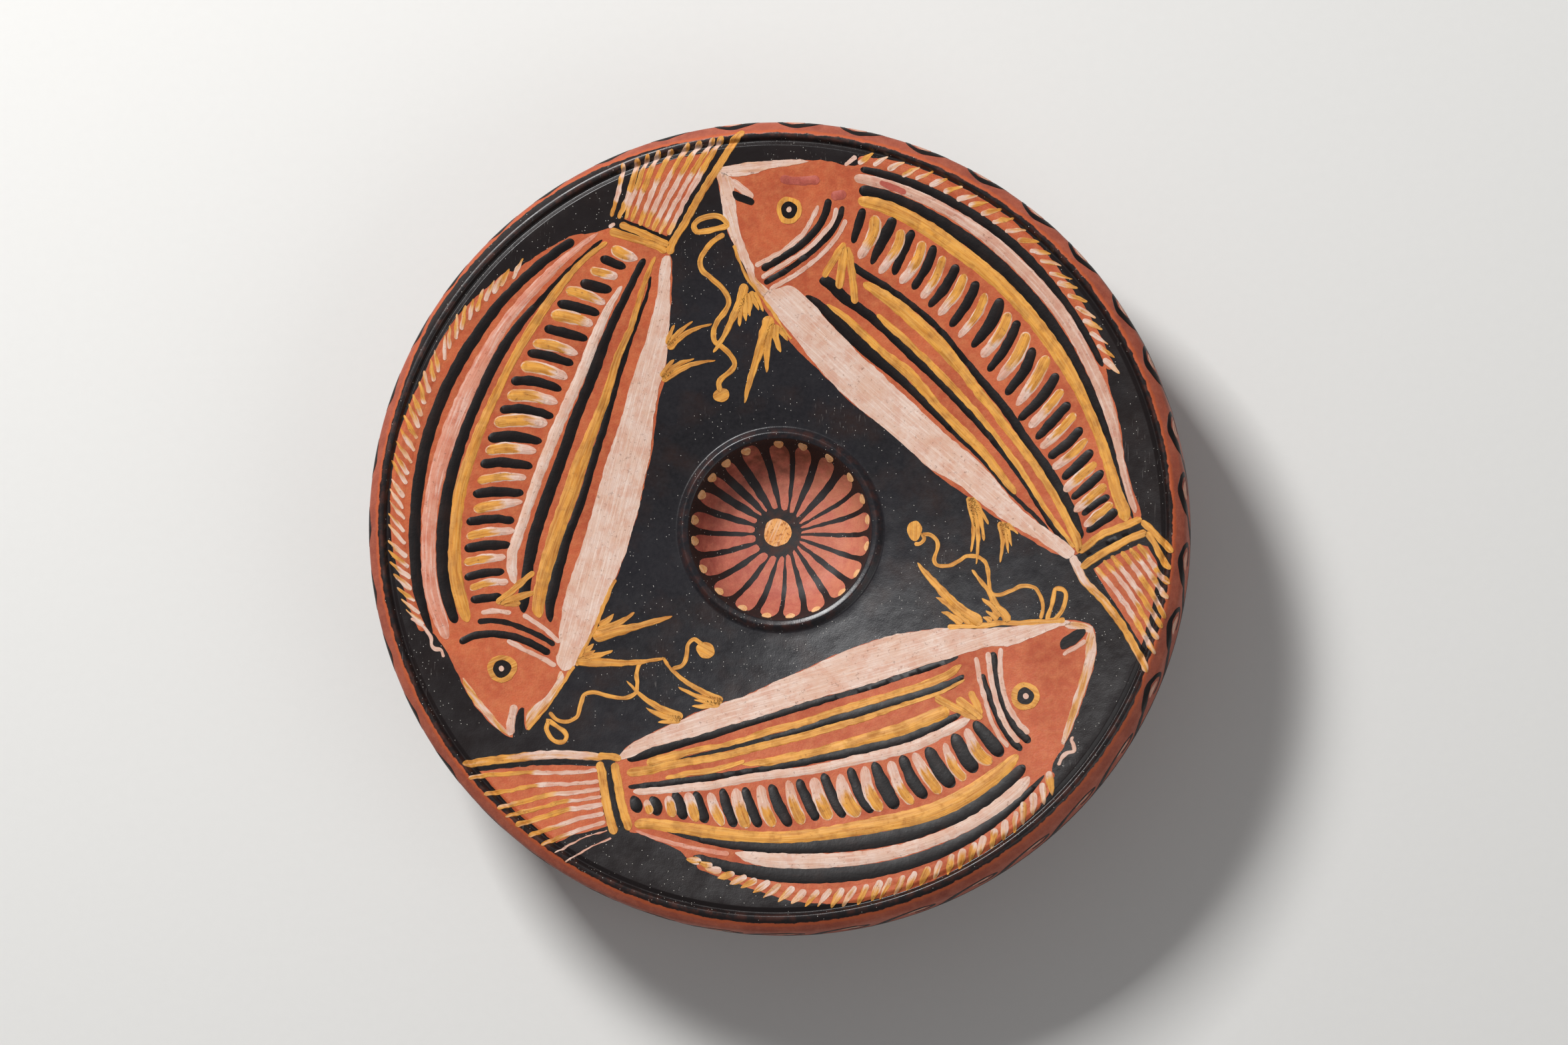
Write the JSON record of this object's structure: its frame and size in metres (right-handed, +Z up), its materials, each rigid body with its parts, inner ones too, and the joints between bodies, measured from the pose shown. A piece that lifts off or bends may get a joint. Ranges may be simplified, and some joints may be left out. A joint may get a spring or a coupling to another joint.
{
  "type": "fish plate",
  "caption": "Round pottery fish plate on a low ring foot, with a sloping floor, a central well and a turned-over rim.",
  "frame": {"origin": "centre of the resting plane of the foot", "axes": "+Z up along the plate's turning axis; +X and +Y lie in the resting plane, and the painted pattern has the picture's right towards +X and the picture's top towards +Y"},
  "size_m": [0.25, 0.25, 0.058],
  "materials": {
    "black_gloss": "semi-gloss black slip with decoration painted over fired clay",
    "foot_gloss": "semi-gloss black slip, bare clay under the resting ring",
    "clay": "matt fired orange-red clay"
  },
  "bodies": {
    "root": {"dish": "black_gloss", "foot": "foot_gloss", "luting_slip": "clay"}
  },
  "joints": []
}
